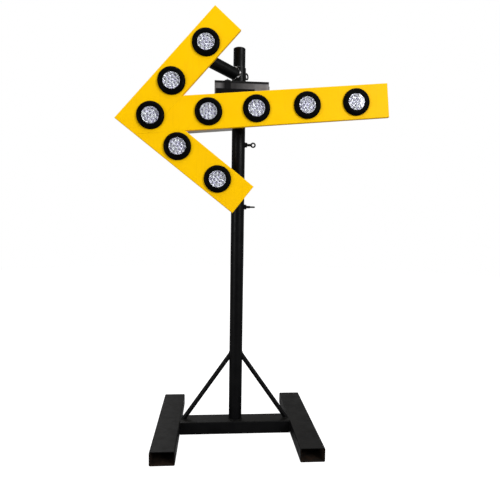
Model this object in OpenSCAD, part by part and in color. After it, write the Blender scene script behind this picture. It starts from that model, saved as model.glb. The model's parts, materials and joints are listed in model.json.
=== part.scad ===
// Lamp arrow board on a telescopic mast and an H-shaped floor stand.
// Millimetres. The mast axis is the Z axis, the floor is Z = 0 and the lamps face -Y.

/* [Stand] */
// Length of each foot, front to back
foot_len = 620; // [450:10:900]
// Width across the outsides of the two feet
stand_w = 716; // [560:4:1000]
// Width of the box section of the feet
foot_w = 104; // [80:0.5:120]
// Height of the box sections of feet and crossbar
foot_h = 59; // [40:0.5:70]
// Width of the box section of the crossbar
cross_w = 88.9; // [66:0.1:110]
// Wall of the box sections
box_wall = 3.2; // [2:0.1:5]
// Outer diameter of the round braces
brace_od = 21.3; // [16:0.1:30]
// Wall of the round braces
brace_wall = 2.6; // [1.6:0.1:4]
// Distance from the mast axis to the foot of each brace
brace_reach = 240; // [150:5:250]
// Height at which the braces meet the mast
brace_top = 356; // [250:2:500]

/* [Mast] */
// Outer diameter of the outer mast tube
mast_od = 60.3; // [56:0.1:76]
// Wall of the outer mast tube
mast_wall = 2.9; // [2:0.1:3]
// Height of the top of the outer mast tube
mast_top = 1484; // [1400:2:1560]
// Outer diameter of the inner mast tube
inner_od = 54; // [45:0.1:54.2]
// Wall of the inner mast tube
inner_wall = 2.6; // [1.6:0.1:4]
// Height of the top of the inner mast tube
inner_top = 1752; // [1700:2:1900]
// Length of the inner mast tube
inner_len = 1150; // [800:10:1300]

/* [Clamp screws] */
// Diameter of the eye screws
screw_d = 12; // [8:1:14]
// Rod diameter of the eye rings
ring_rod = 7; // [5:0.5:10]
// Mean radius of the eye rings on the mast
ring_r = 9; // [8:0.5:16]
// Mean radius of the eye ring on the head
head_ring_r = 12.5; // [8:0.5:16]
// Width across flats of the welded nuts
nut_flats = 19; // [15:1:24]
// Height of the welded nuts
nut_h = 10; // [8:1:16]
// Length of eye screw shank outside the nut
screw_reach = 18; // [12:1:40]
// Height of the upper clamp screw
upper_screw_z = 1329; // [1200:1:1380]
// Height of the lower clamp screw
lower_screw_z = 1048; // [900:1:1150]
// Height of the head clamp screw
head_screw_z = 1652; // [1620:1:1656]
// Direction of the head clamp screw, counted from +X towards +Y
head_screw_az = 58; // [40:1:90]

/* [Head] */
// Outer diameter of the head sleeve
sleeve_od = 60.3; // [58:0.1:66]
// Height of the top of the head sleeve
sleeve_top = 1668; // [1660:1:1690]
// Outer diameter of the stay arm
arm_od = 53; // [40:0.5:56]
// Wall of the stay arm
arm_wall = 2.6; // [2:0.1:5]
// Height at which the stay arm leaves the mast axis
arm_z = 1634; // [1625:1:1640]
// Direction of the stay arm in plan, counted from -X towards -Y
arm_az = 32; // [28:1:40]
// Rise of the stay arm above level
arm_rise = 12.7; // [6:0.1:18]
// Height of the shelf under the battery case
shelf_z = 1516; // [1508:1:1524]
// Thickness of the shelf
shelf_t = 4; // [3:0.5:6]
// Height of the shelf's front lip
lip_h = 33; // [20:1:40]
// Width of the hanger plate that carries the pivot boss
hanger_w = 48; // [36:1:60]
// Thickness of the hanger plate
hanger_t = 6; // [4:0.5:10]

/* [Battery case] */
// Width of the battery case
case_w = 232; // [190:2:240]
// Depth of the battery case
case_d = 69; // [60:1:70]
// Height of the battery case
case_h = 63; // [50:1:70]
// Distance of the case's middle from the mast axis
case_x = 6; // [0:1:20]
// Sheet thickness of the case and its drawer
case_t = 1.5; // [1:0.1:2]
// Clearance between drawer and case
drawer_gap = 0.8; // [0.5:0.1:2]
// Length of the battery pack
pack_len = 150; // [120:2:160]
// Height of the battery pack
pack_h = 40; // [30:1:42]
// Room on each side of the battery pack in its drawer
pack_room = 3.2; // [1:0.1:6]

/* [Arrow] */
// Height of the tilt pivot
pivot_z = 1455.2; // [1440:0.2:1470]
// Distance from the arrow's point to the pivot along the shaft
pivot_x = 527; // [500:1:560]
// Tilt of the arrow as it is set, left end down
tilt = 5.4; // [0:0.1:7]
// Overall length of the arrow
arrow_len = 1172; // [1140:2:1400]
// Width of the three sheet trays
panel_w = 146; // [138:1:170]
// Angle between each arm and the shaft
arm_angle = 43.5; // [42:0.5:48]
// Length of each arm along its outer edge
arrow_arm = 630; // [610:2:760]
// Distance of the arrow's front face from the mast axis
face_y = 135; // [130:1:150]
// Depth of the trays
tray_d = 22; // [20:1:26]
// Sheet thickness of the trays
sheet_t = 1.5; // [1:0.1:2]
// Width of the inward lips of the trays
lip_w = 12; // [8:1:16]
// Thickness of the plates behind the arrow
plate_t = 4; // [3:0.5:5]
// Distance along each arm from the shaft line to its first lamp
arm_lamp_1 = 197; // [190:1:215]
// Distance along each arm from the shaft line to its second lamp
arm_lamp_2 = 413; // [400:1:430]
// Distance of the lamp in the arrow's point from the point
point_lamp = 149; // [144:1:158]
// Distances of the four shaft lamps from the point
shaft_lamps = [392, 596, 815, 1029];
// Distance along the upper arm to the tilt clamp bolt
clamp_bolt_u = 276; // [268:1:300]

/* [Lamps] */
// Outer diameter of the rubber grommets
grommet_od = 117; // [110:1:124]
// Diameter of the lamp holes in the sheet
lamp_hole = 100; // [94:1:104]
// Diameter of the lenses
lens_d = 80; // [70:1:86]
// Visible diameter of the lenses
lens_show = 71.5; // [64:0.5:78]
// Height of the grommets in front of the sheet
grommet_h = 14; // [10:0.5:18]
// Clearance between the lamp cups and the plates behind them
cup_gap = 2; // [1:0.5:4]

/* [Control box] */
// Width of the control box
ctrl_w = 196; // [170:2:200]
// Height of the control box
ctrl_h = 108; // [90:2:112]
// Depth of the control box with its cover
ctrl_d = 72; // [50:1:74]
// Distance of the control box's middle from the arrow's point
ctrl_x = 391; // [386:1:394]
// Height of the control box's middle above the shaft line
ctrl_y = -14; // [-18:1:-10]
// Wall of the control box
ctrl_t = 3; // [2:0.5:4]
// Thickness of the control box cover
cover_t = 4; // [3:0.5:6]

/* [Fits] */
// Gap between pieces that seat on each other
seat = 0.3; // [0.2:0.05:0.5]
// Radial clearance of bolts and threads that turn
turn_gap = 0.1; // [0.05:0.01:0.1]
// Gap along the seams between the trays
seam = 0.4; // [0.2:0.1:1]

/* [Hidden] */
$fn = 64;
eps = 0.01;
weld_gap = 0.05;
lens_count = 9;

black = "#1b1b1d";
yellow = "#ffcc04";
steel = "#b9bcc0";
rubber = "#141416";
grey_abs = "#c3c5c6";

// stand
foot_x = (stand_w - foot_w) / 2;
cross_l = stand_w - 2 * foot_w;
mast_r = mast_od / 2;
inner_r = inner_od / 2;
sleeve_r = sleeve_od / 2;
sleeve_bore = inner_r + 0.25;
sleeve_z = mast_top + seat;
brace_run = brace_reach - mast_r;
brace_lift = brace_top - foot_h;
brace_slope = atan2(brace_lift, brace_run);

// clamp screws, measured outwards from the tube axis
pad_in = inner_r + 0.1;
pad_t = 3.5;
pad_r = screw_d / 2 - 0.5;
screw_in = pad_in + pad_t + 0.05;
screw_hole = screw_d / 2 + 0.5;

// stay arm
arm_dir = [-cos(arm_az) * cos(arm_rise), -sin(arm_az) * cos(arm_rise), sin(arm_rise)];
back_y = face_y - tray_d;               // back plane of the trays
carrier_y = back_y - plate_t;           // back of the plates on the trays
slot_front = carrier_y - seat;          // front of the slotted plate
slot_t = 5;
slot_back = slot_front - slot_t;
arm_end_t = slot_back / -arm_dir[1];
arm_end = arm_dir * arm_end_t + [0, 0, arm_z];

// arrow outline in its own axes: x from the point along the shaft, y up
half_w = panel_w / 2;
arm_x0 = half_w / sin(arm_angle);       // where an arm's middle line meets the shaft line
edge_x0 = panel_w / sin(arm_angle);     // where an arm's inner edge meets the shaft line
corner_x = edge_x0 + half_w / tan(arm_angle);
arm_mid_len = arrow_arm - half_w / tan(arm_angle);

function arm_pt(u, v, side = 1) =
    [arm_x0 + u * cos(arm_angle) - v * sin(arm_angle),
     side * (u * sin(arm_angle) + v * cos(arm_angle))];

lamp_at = concat(
    [arm_pt(arm_lamp_2, 0), arm_pt(arm_lamp_1, 0), [point_lamp, 0]],
    [arm_pt(arm_lamp_1, 0, -1), arm_pt(arm_lamp_2, 0, -1)],
    [for (x = shaft_lamps) [x, 0]]
);

// tilt clamp bolt, in the arrow's axes and about the pivot
clamp_at = arm_pt(clamp_bolt_u, 0);
clamp_rel = clamp_at - [pivot_x, 0];
clamp_r = norm(clamp_rel);
clamp_ang = atan2(clamp_rel[1], clamp_rel[0]) + tilt;
clamp_d = 12;
tilt_up = 6;                            // travel towards level and past it, degrees
tilt_down = 3;                          // travel further down, degrees
pivot_d = 16;
boss_r = 20;

// lamps
cup_r = lens_d / 2;
cup_wall = 1.5;
cup_depth = tray_d - cup_gap;           // behind the front face
board_h = -2;
lens_back = grommet_h - 7.5;

// battery case
case_y1 = -(sleeve_r + 3.5);
case_y0 = case_y1 - case_d;
case_x0 = case_x - case_w / 2;
case_x1 = case_x + case_w / 2;
case_z = shelf_z + shelf_t;
lip_t = 3;
strap_x = -54;
strap_w = 26;
strap_t = 2;
shelf_back = sleeve_r + 8;
gland_at = [case_x0 + 22, case_y1, case_z + case_h - 17];

// control box, from the back of its straps
strap_h = 3;
strap_off = 78;
strap_w2 = 25;
carrier_run = 32;
ctrl_front = -tray_d - strap_h;
ctrl_back = ctrl_front - ctrl_d;
toggle_at = [ctrl_x - 50, ctrl_y + 10];
mount_d = 5;
mount_y = 30;

// ---------- helpers ----------
module box_tube(w, h, l, wall) {
    difference() {
        translate([-w / 2, -l / 2, 0]) cube([w, l, h]);
        translate([-w / 2 + wall, -l / 2 - 1, wall]) cube([w - 2 * wall, l + 2, h - 2 * wall]);
    }
}
module tube(r, wall, l) {
    difference() {
        cylinder(r = r, h = l);
        translate([0, 0, -1]) cylinder(r = r - wall, h = l + 2);
    }
}
module hexagon(flats, h) cylinder(r = flats / sqrt(3), h = h, $fn = 6);

// a clamp screw's own axes: x runs outwards from the tube axis
module screw_axes(z, az) translate([0, 0, z]) rotate([0, 0, az]) rotate([0, 90, 0]) children();

module weld_nut(tube_r) {
    translate([0, 0, tube_r]) difference() {
        hexagon(nut_flats, nut_h);
        translate([0, 0, -1]) cylinder(r = screw_d / 2 + turn_gap, h = nut_h + 2);
    }
}
module eye_screw(tube_r, eye_r, turn) {
    tip = screw_in;
    neck = tube_r + nut_h + screw_reach;
    translate([0, 0, tip]) cylinder(r = screw_d / 2, h = neck - tip);
    translate([0, 0, neck + eye_r]) rotate([90, 0, turn])
        rotate_extrude() translate([eye_r, 0]) circle(r = ring_rod / 2);
}
module screw_pad() translate([0, 0, pad_in]) cylinder(r = pad_r, h = pad_t);

// the arrow's own axes: x along the shaft from the point, y up, z out of the front face
module arrow_axes() {
    translate([0, -face_y, pivot_z]) rotate([0, -tilt, 0])
        rotate([90, 0, 0]) translate([-pivot_x, 0, 0]) children();
}
module at_lamps() for (p = lamp_at) translate([p[0], p[1], 0]) children();

// one folded edge of a tray from a to b, with the tray on its left: the wall and its lip,
// a little over size so that the tray's outline trims it
over = 1;
module folded_edge(a, b) {
    len = norm(b - a);
    ang = atan2(b[1] - a[1], b[0] - a[0]);
    translate([a[0], a[1], -tray_d]) rotate([0, 0, ang]) translate([-over, -over, -over]) {
        cube([len + 2 * over, sheet_t + over, tray_d + 2 * over]);
        cube([len + 2 * over, lip_w + over, sheet_t + over]);
    }
}
// a tray: front sheet, folded edges as pairs of corners, and its lamp holes
module tray(pts, folds) {
    color(yellow) difference() {
        intersection() {
            union() {
                translate([-arrow_len, -arrow_len, -sheet_t])
                    cube([3 * arrow_len, 2 * arrow_len, sheet_t + over]);
                for (f = folds) folded_edge(f[0], f[1]);
            }
            translate([0, 0, -tray_d]) linear_extrude(tray_d) polygon(pts);
        }
        at_lamps() translate([0, 0, -sheet_t - 1]) cylinder(d = lamp_hole, h = sheet_t + 2);
    }
}

// ---------- stand ----------
module foot(x) color(black) translate([x, 0, 0]) box_tube(foot_w, foot_h, foot_len, box_wall);
module left_foot() foot(-foot_x);
module right_foot() foot(foot_x);
module crossbar() {
    color(black) rotate([0, 0, 90]) box_tube(cross_w, foot_h, cross_l, box_wall);
}
module brace(side) {
    len = norm([brace_run, brace_lift]) + 60;
    color(black) difference() {
        translate([side * brace_reach, 0, foot_h])
            rotate([0, -side * (90 - brace_slope), 0]) translate([0, 0, -30])
                tube(brace_od / 2, brace_wall, len);
        translate([0, 0, foot_h - 50]) cube([stand_w, foot_w, 100], center = true);
        cylinder(r = mast_r, h = mast_top);
    }
}
module left_brace() brace(-1);
module right_brace() brace(1);

// ---------- mast ----------
module outer_mast() {
    color(black) difference() {
        translate([0, 0, foot_h]) tube(mast_r, mast_wall, mast_top - foot_h);
        for (z = [upper_screw_z, lower_screw_z])
            screw_axes(z, 0) cylinder(r = screw_hole, h = mast_od);
    }
}
module mast_nuts() {
    color(black) for (z = [upper_screw_z, lower_screw_z]) screw_axes(z, 0) weld_nut(mast_r);
}
module inner_mast() {
    color(black) translate([0, 0, inner_top - inner_len]) tube(inner_r, inner_wall, inner_len);
}
module mast_cap() {
    plug = 18;
    color(rubber) {
        translate([0, 0, inner_top - plug]) cylinder(r = inner_r - inner_wall - seat / 2, h = plug);
        translate([0, 0, inner_top]) rotate_extrude()
            polygon([[0, 0], [inner_r, 0], [inner_r, 1.5], [inner_r - 2, 3.5], [0, 3.5]]);
    }
}

// ---------- clamp screws ----------
module upper_eye_screw() color(black) screw_axes(upper_screw_z, 0) eye_screw(mast_r, ring_r, 0);
module upper_screw_pad() color(steel) screw_axes(upper_screw_z, 0) screw_pad();
module lower_eye_screw() color(black) screw_axes(lower_screw_z, 0) eye_screw(mast_r, ring_r, 90);
module lower_screw_pad() color(steel) screw_axes(lower_screw_z, 0) screw_pad();
module head_nut() color(black) screw_axes(head_screw_z, head_screw_az) weld_nut(sleeve_r);
module head_eye_screw() {
    color(black) screw_axes(head_screw_z, head_screw_az) eye_screw(sleeve_r, head_ring_r, 0);
}
module head_screw_pad() color(steel) screw_axes(head_screw_z, head_screw_az) screw_pad();

// ---------- head ----------
module head_sleeve() {
    color(black) difference() {
        translate([0, 0, sleeve_z]) tube(sleeve_r, sleeve_r - sleeve_bore, sleeve_top - sleeve_z);
        screw_axes(head_screw_z, head_screw_az) cylinder(r = screw_hole, h = sleeve_od);
    }
}
// lies along the stay arm with z pointing outwards
module arm_axes() {
    translate([0, 0, arm_z]) rotate([0, 90 - arm_rise, 180 + arm_az]) children();
}
module stay_arm() {
    color(black) difference() {
        arm_axes() cylinder(d = arm_od, h = arm_end_t + arm_od);
        arm_axes() cylinder(d = arm_od - 2 * arm_wall, h = arm_end_t + 2 * arm_od);
        cylinder(r = sleeve_r + weld_gap, h = 2 * inner_top);
        translate([-500, -slot_back - 300, arm_z - 300]) cube([800, 300, 600]);
    }
}
// plate on the end of the stay arm, with the arc slot for the tilt clamp bolt
module slot_plate() {
    lie = tilt + arm_angle;
    width = 104;
    reach = 126;
    past_arm = 42;
    slot_w = clamp_d + 1;
    color(black) translate([0, -slot_front, 0]) rotate([90, 0, 0]) translate([0, 0, -slot_t]) {
        difference() {
            translate([arm_end[0], arm_end[2], 0]) rotate([0, 0, lie])
                translate([-reach, -width / 2 + 6, 0]) cube([reach + past_arm, width, slot_t]);
            translate([0, pivot_z, -1]) rotate([0, 0, clamp_ang - tilt_up - 0.2]) {
                rotate_extrude(angle = tilt_up + tilt_down + 0.4)
                    translate([clamp_r - slot_w / 2, 0]) square([slot_w, slot_t + 2]);
                for (a = [0, tilt_up + tilt_down + 0.4])
                    rotate([0, 0, a]) translate([clamp_r, 0, 0]) cylinder(d = slot_w, h = slot_t + 2);
            }
        }
    }
}
// shelf with front lip, hanger plate, gusset and the pivot boss, welded into one bracket
module head_bracket() {
    front = case_y0 - seat - lip_t;
    hanger_back = -(mast_r + 26);
    hanger_low = pivot_z - 52;
    color(black) difference() {
        union() {
            translate([case_x0, front, shelf_z]) cube([case_w, shelf_back - front, shelf_t]);
            translate([case_x0 + 6, front, shelf_z]) cube([case_w - 66, lip_t, lip_h]);
            translate([-hanger_w / 2, hanger_back - hanger_t, hanger_low])
                cube([hanger_w, hanger_t, shelf_z - hanger_low]);
            translate([-3, hanger_back, sleeve_z + 3]) cube([6, -hanger_back, shelf_z - sleeve_z - 3]);
            translate([0, hanger_back - hanger_t + eps, pivot_z]) rotate([90, 0, 0])
                cylinder(r = boss_r, h = slot_front + hanger_back - hanger_t + eps);
        }
        translate([0, 0, sleeve_z - 1]) cylinder(r = sleeve_r + weld_gap, h = 100);
        translate([0, 0, pivot_z]) rotate([90, 0, 0]) cylinder(d = pivot_d + 2 * turn_gap, h = 200);
    }
}

// ---------- battery case on the shelf ----------
module battery_case() {
    color(black) difference() {
        translate([case_x0, case_y0, case_z]) cube([case_w, case_d, case_h]);
        translate([case_x0 + case_t, case_y0 + case_t, case_z + case_t])
            cube([case_w, case_d - 2 * case_t, case_h - 2 * case_t]);
        battery_gland_axes() cylinder(r = 8.2, h = 20, center = true);
    }
}
module case_strap() {
    top = case_z + case_h;
    color(black) difference() {
        union() {
            translate([strap_x - strap_w / 2, case_y0 - strap_t, shelf_z + lip_h + seat / 2])
                cube([strap_w, strap_t, top - shelf_z - lip_h + strap_t]);
            translate([strap_x - strap_w / 2, case_y0 - strap_t, top])
                cube([strap_w, case_d + 2 * strap_t, strap_t]);
            translate([strap_x - strap_w / 2, case_y1, case_z])
                cube([strap_w, strap_t, case_h + strap_t]);
        }
        translate([strap_x, case_y0 + 14, top - 1]) cylinder(r = 3.2, h = 10);
    }
}
module strap_bolt() {
    color(steel) translate([strap_x, case_y0 + 14, case_z + case_h]) {
        cylinder(r = 3, h = strap_t);
        translate([0, 0, strap_t]) hexagon(13, 5.5);
        translate([0, 0, strap_t + 5.5]) cylinder(r = 3, h = 4);
    }
}
module battery_gland_axes() translate(gland_at) rotate([-90, 0, 0]) children();
module battery_gland() {
    color(rubber) battery_gland_axes() difference() {
        union() {
            translate([0, 0, -case_t - 3]) cylinder(r = 8, h = case_t + 3);
            hexagon(20, 6);
            translate([0, 0, 6]) rotate_extrude() polygon([[0, 0], [8.5, 0], [8.5, 5], [6, 9], [0, 9]]);
        }
        translate([0, 0, -10]) cylinder(r = 3.5, h = 40);
    }
}
module battery_drawer() {
    x0 = case_x0 + case_t + drawer_gap;
    y0 = case_y0 + case_t + drawer_gap;
    depth = case_d - 2 * (case_t + drawer_gap);
    rim = case_h * 0.45;
    z0 = case_z + case_t + 0.2;
    color(black) difference() {
        union() {
            translate([x0, y0, z0]) cube([case_x1 - x0 + seat, depth, rim]);
            translate([case_x1 + seat, case_y0, case_z + 0.5]) cube([case_t, case_d, case_h - 0.5]);
        }
        translate([x0 + case_t, y0 + case_t, z0 + case_t])
            cube([case_x1 - x0 - 2 * case_t, depth - 2 * case_t, case_h]);
        drawer_knob_axes() translate([0, 0, -20]) cylinder(r = 4 + turn_gap, h = 40);
    }
}
module battery_pack() {
    inside = 2 * case_t + drawer_gap + pack_room;
    color("#2b3f66") translate([case_x0 + 24, case_y0 + inside, case_z + 2 * case_t + 0.25])
        cube([pack_len, case_d - 2 * inside, pack_h]);
}
module drawer_knob_axes() {
    translate([case_x1 + seat + case_t, (case_y0 + case_y1) / 2, case_z + case_h * 0.7])
        rotate([0, 90, 0]) children();
}
module drawer_knob() {
    color(rubber) drawer_knob_axes() {
        translate([0, 0, -case_t - 1]) cylinder(r = 4, h = case_t + 3);
        translate([0, 0, -case_t - 3]) cylinder(r = 6, h = 2.8);
        translate([0, 0, 0.2]) cylinder(r = 10, h = 2);
        translate([-9, -2.5, 2]) cube([18, 5, 4.2]);
    }
}

// ---------- arrow trays ----------
module upper_arm_panel() {
    a = half_w / tan(arm_angle);
    tip = [0, 0];
    low = [a, -half_w];
    inner = [corner_x, half_w];
    inner_end = arm_pt(arm_mid_len, -half_w);
    outer_end = arm_pt(arm_mid_len, half_w);
    arrow_axes() tray([tip, low, [edge_x0 - a, -half_w], inner, inner_end, outer_end],
                      [[tip, low], [inner, inner_end], [inner_end, outer_end], [outer_end, tip]]);
}
module lower_arm_panel() {
    start = [half_w / tan(arm_angle) + seam, -half_w - seam];
    outer_end = arm_pt(arm_mid_len, half_w, -1);
    inner_end = arm_pt(arm_mid_len, -half_w, -1);
    inner = [corner_x + seam, -half_w - seam];
    arrow_axes() tray([start, outer_end, inner_end, inner],
                      [[start, outer_end], [outer_end, inner_end], [inner_end, inner]]);
}
module shaft_panel() {
    low = [edge_x0 - half_w / tan(arm_angle) + seam, -half_w];
    low_corner = [corner_x + seam, -half_w];
    end_low = [arrow_len, -half_w];
    end_top = [arrow_len, half_w];
    top_corner = [corner_x + seam, half_w];
    arrow_axes() tray([low, end_low, end_top, top_corner],
                      [[low_corner, end_low], [end_low, end_top], [end_top, top_corner]]);
}

// ---------- plates and fasteners behind the arrow ----------
plate_in = 3;                           // plates stop this far inside the outline
plate_v = half_w - plate_in;
junction_end = ctrl_x - strap_off - strap_w2 / 2 - 2;
junction_u = plate_v * (1 + cos(arm_angle)) / sin(arm_angle);
module plate(pts, t) translate([0, 0, -tray_d - t]) linear_extrude(t) polygon(pts);

module junction_plate() {
    side = [[170, plate_v], [215, -plate_v], [junction_u, -plate_v]];
    color(yellow) arrow_axes() plate(concat(
        [[plate_in / sin(arm_angle), 0]],
        [for (q = side) arm_pt(q[0], q[1], -1)],
        [[junction_end, -plate_v], [junction_end, plate_v]],
        [for (i = [2 : -1 : 0]) arm_pt(side[i][0], side[i][1])]
    ), strap_h);
}
module arm_carrier() {
    run = 60;
    color(yellow) arrow_axes() difference() {
        plate([for (q = [[-run, -1], [run, -1], [run, 1], [-run, 1]])
            arm_pt(clamp_bolt_u + q[0], q[1] * plate_v)], plate_t);
        translate([clamp_at[0], clamp_at[1], -tray_d - plate_t - 1])
            cylinder(d = clamp_d + 2 * turn_gap, h = plate_t + 2);
    }
}
module shaft_carrier() {
    color(yellow) arrow_axes() difference() {
        translate([pivot_x - carrier_run, -plate_v, -tray_d - plate_t])
            cube([2 * carrier_run, 2 * plate_v, plate_t]);
        translate([pivot_x, 0, -tray_d - plate_t - 1])
            cylinder(d = pivot_d + 2 * turn_gap, h = plate_t + 2);
    }
}
module box_straps() {
    color(steel) arrow_axes() difference() {
        for (s = [-1, 1]) translate([ctrl_x + s * strap_off - strap_w2 / 2, -plate_v, -tray_d - strap_h])
            cube([strap_w2, 2 * plate_v, strap_h]);
        at_mount_screws() cylinder(d = mount_d + 2 * turn_gap, h = 20, center = true);
    }
}
// domed rivet heads on the backs of the plates, over the trays' lips
module rivets(places, t) for (p = places) translate([p[0], p[1], -tray_d - t])
    rotate([180, 0, 0]) rotate_extrude() polygon([[0, 0], [3.4, 0], [3.1, 0.7], [1.8, 1.4], [0, 1.6]]);
module panel_rivets() {
    v = half_w - 7;
    color(steel) arrow_axes() {
        for (s = [-1, 1]) {
            rivets([for (q = [[35, v], [150, v], [205, -v]]) arm_pt(q[0], q[1], s)], strap_h);
            rivets([[junction_end - 12, s * v]], strap_h);
            rivets([for (d = [-1, 1]) [pivot_x + d * (carrier_run - 8), s * v]], plate_t);
        }
    }
}

// a bolt along -Y of the arrow: head in front of the carrier, shank to the back
module bolt(at, d, flats, head_h, back_h) {
    arrow_axes() translate([at[0], at[1], 0]) {
        translate([0, 0, -tray_d]) hexagon(flats, head_h);
        translate([0, 0, -back_h]) cylinder(d = d, h = back_h - tray_d + eps);
    }
}
module nut(at, d, flats, washer_r, seat_h, h) {
    arrow_axes() translate([at[0], at[1], seat_h - 2.5]) difference() {
        union() {
            cylinder(r = washer_r, h = 2.5);
            translate([0, 0, -h]) hexagon(flats, h);
        }
        translate([0, 0, -h - 1]) cylinder(d = d + 2 * turn_gap, h = h + 5);
    }
}
pivot_seat = -(face_y - mast_r - 26) - seat;
clamp_seat = -(face_y - slot_back) - seat;
module pivot_bolt() color(steel) bolt([pivot_x, 0], pivot_d, 24, 10, -pivot_seat + 16);
module pivot_nut() color(steel) nut([pivot_x, 0], pivot_d, 24, 15, pivot_seat, 11);
module clamp_bolt() color(steel) bolt(clamp_at, clamp_d, 18, 7.5, -clamp_seat + 14);
module clamp_nut() color(steel) nut(clamp_at, clamp_d, 18, 12, clamp_seat, 10);

// ---------- lamps ----------
module lamp_grommets() {
    neck = lamp_hole / 2 - seat;
    lip = neck + 4.3;
    out = grommet_od / 2;
    show = lens_show / 2;
    color(rubber) arrow_axes() at_lamps() rotate_extrude() polygon([
        [show, lens_back + 3], [show, grommet_h - 1], [show + 3, grommet_h],
        [show + 8, grommet_h - 0.5], [out - 5.5, grommet_h * 0.68], [out - 1, grommet_h * 0.24],
        [out, 0], [neck, 0], [neck, -sheet_t], [lip, -sheet_t], [lip, -6],
        [cup_r + seat, -6], [cup_r + seat, lens_back + 3]
    ]);
}
module lamp_lens(i) {
    dome = 2.5;
    color("#dfe3ea") arrow_axes() translate([lamp_at[i][0], lamp_at[i][1], lens_back])
        rotate_extrude() polygon([
            [0, 0], [cup_r, 0], [cup_r, 3], [lens_show / 2 - 0.5, 3],
            [cup_r * 0.72, 3 + dome * 0.5], [cup_r * 0.36, 3 + dome * 0.88], [0, 3 + dome]
        ]);
}
module lamp_housings() {
    color(rubber) arrow_axes() at_lamps() translate([0, 0, -cup_depth]) difference() {
        cylinder(r = cup_r, h = cup_depth + lens_back);
        translate([0, 0, 2]) cylinder(r = cup_r - cup_wall, h = cup_depth + lens_back);
    }
}
module led_boards() {
    color("white") arrow_axes() at_lamps() {
        translate([0, 0, -cup_depth + 2]) cylinder(r = 7, h = cup_depth + board_h - 2 + eps);
        translate([0, 0, board_h]) cylinder(r = cup_r - cup_wall - seat, h = 1.6);
        for (ring = [[0, 1], [15, 6], [29, 10]], k = [0 : ring[1] - 1])
            rotate([0, 0, 360 * k / ring[1]]) translate([ring[0], 0, board_h + 1.5])
                cylinder(r = 5, h = 4, $fn = 24);
    }
}
// leads between neighbouring lamps, beside the middle line, cut back to the lamp cups
module lead(a, b) {
    len = norm(b - a);
    translate([a[0], a[1], 0]) rotate([0, 0, atan2(b[1] - a[1], b[0] - a[0])])
        translate([0, lead_off, lead_h]) rotate([0, 90, 0]) cylinder(r = lead_r, h = len);
}
lead_r = 3;
lead_off = 26;
lead_h = -12;
module lamp_harness() {
    drop_x = ctrl_x + 62;
    color(rubber) arrow_axes() difference() {
        union() {
            for (i = [0, 1, 2, 3, 5, 6, 7]) lead(lamp_at[i], lamp_at[i + 1]);
            lead(lamp_at[2], lamp_at[5]);
            translate([drop_x, lead_off, ctrl_front]) cylinder(r = lead_r, h = lead_h - ctrl_front);
        }
        at_lamps() translate([0, 0, -cup_depth - 1]) cylinder(r = cup_r, h = cup_depth + 10);
    }
}

// ---------- control box ----------
module ctrl_block(inset, h0, h1) {
    translate([ctrl_x - ctrl_w / 2 + inset, ctrl_y - ctrl_h / 2 + inset, h0])
        cube([ctrl_w - 2 * inset, ctrl_h - 2 * inset, h1 - h0]);
}
module at_cover_corners() {
    for (sx = [-1, 1], sy = [-1, 1])
        translate([ctrl_x + sx * (ctrl_w / 2 - 9), ctrl_y + sy * (ctrl_h / 2 - 9), ctrl_back]) children();
}
module control_case() {
    color(grey_abs) arrow_axes() difference() {
        union() {
            difference() {
                ctrl_block(0, ctrl_back + cover_t, ctrl_front);
                ctrl_block(ctrl_t, ctrl_back + cover_t - 1, ctrl_front - ctrl_t);
            }
            at_cover_corners() translate([0, 0, cover_t])
                cylinder(r = 6.5, h = ctrl_d - cover_t - ctrl_t + eps);
        }
        at_cover_corners() translate([0, 0, cover_t - 1]) cylinder(r = 2.2, h = 22);
        at_mount_screws() cylinder(d = mount_d + 2 * turn_gap, h = 20, center = true);
        control_gland_axes() cylinder(r = 8.2, h = 20, center = true);
    }
}
module control_cover() {
    color(grey_abs) arrow_axes() difference() {
        ctrl_block(0, ctrl_back, ctrl_back + cover_t);
        at_cover_corners() translate([0, 0, -1]) {
            cylinder(r = 2.2, h = cover_t + 2);
            cylinder(r = 4.2, h = 3);
        }
        translate([toggle_at[0], toggle_at[1], ctrl_back - 1]) cylinder(r = 6.2, h = cover_t + 2);
    }
}
module cover_screws() {
    color(steel) arrow_axes() at_cover_corners() {
        cylinder(r = 4, h = 2);
        translate([0, 0, 1.9]) cylinder(r = 2, h = 18);
    }
}
// four screws from inside the case through its front wall and the straps
module at_mount_screws() {
    for (sx = [-1, 1], sy = [-1, 1])
        translate([ctrl_x + sx * strap_off, ctrl_y + sy * mount_y, ctrl_front - ctrl_t]) children();
}
module mount_screws() {
    color(steel) arrow_axes() at_mount_screws() {
        translate([0, 0, -2.6]) cylinder(r = 4.5, h = 2.6);
        cylinder(d = mount_d, h = ctrl_t + strap_h + 5);
    }
}
module flasher_board() {
    board = [130, 80, 1.6];
    post = 10;
    h = ctrl_front - ctrl_t;
    color("#1f6b3a") arrow_axes() translate([ctrl_x, ctrl_y, h]) {
        for (sx = [-1, 1], sy = [-1, 1])
            translate([sx * 58, sy * 33, -post]) cylinder(r = 4, h = post);
        translate([-board[0] / 2, -board[1] / 2, -post - board[2]]) cube(board);
        for (x = [-50, -30, -10]) translate([x, -24, -post - board[2] - 16]) cylinder(r = 7, h = 16 + eps);
        translate([8, -30, -post - board[2] - 12]) cube([44, 22, 12 + eps]);
        translate([-56, 12, -post - board[2] - 14]) cube([100, 14, 14 + eps]);
    }
}
module toggle_switch() {
    color(steel) arrow_axes() translate([toggle_at[0], toggle_at[1], ctrl_back]) difference() {
        union() {
            translate([-7, -12, cover_t]) cube([14, 24, 16]);
            cylinder(r = 6, h = cover_t + eps);
            translate([0, 0, -3]) hexagon(16, 3);
            translate([0, 0, -7]) cylinder(r = 5.2, h = 5);
        }
        translate([0, 0, -8]) cylinder(r = 4.1, h = 12);
    }
}
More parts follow.
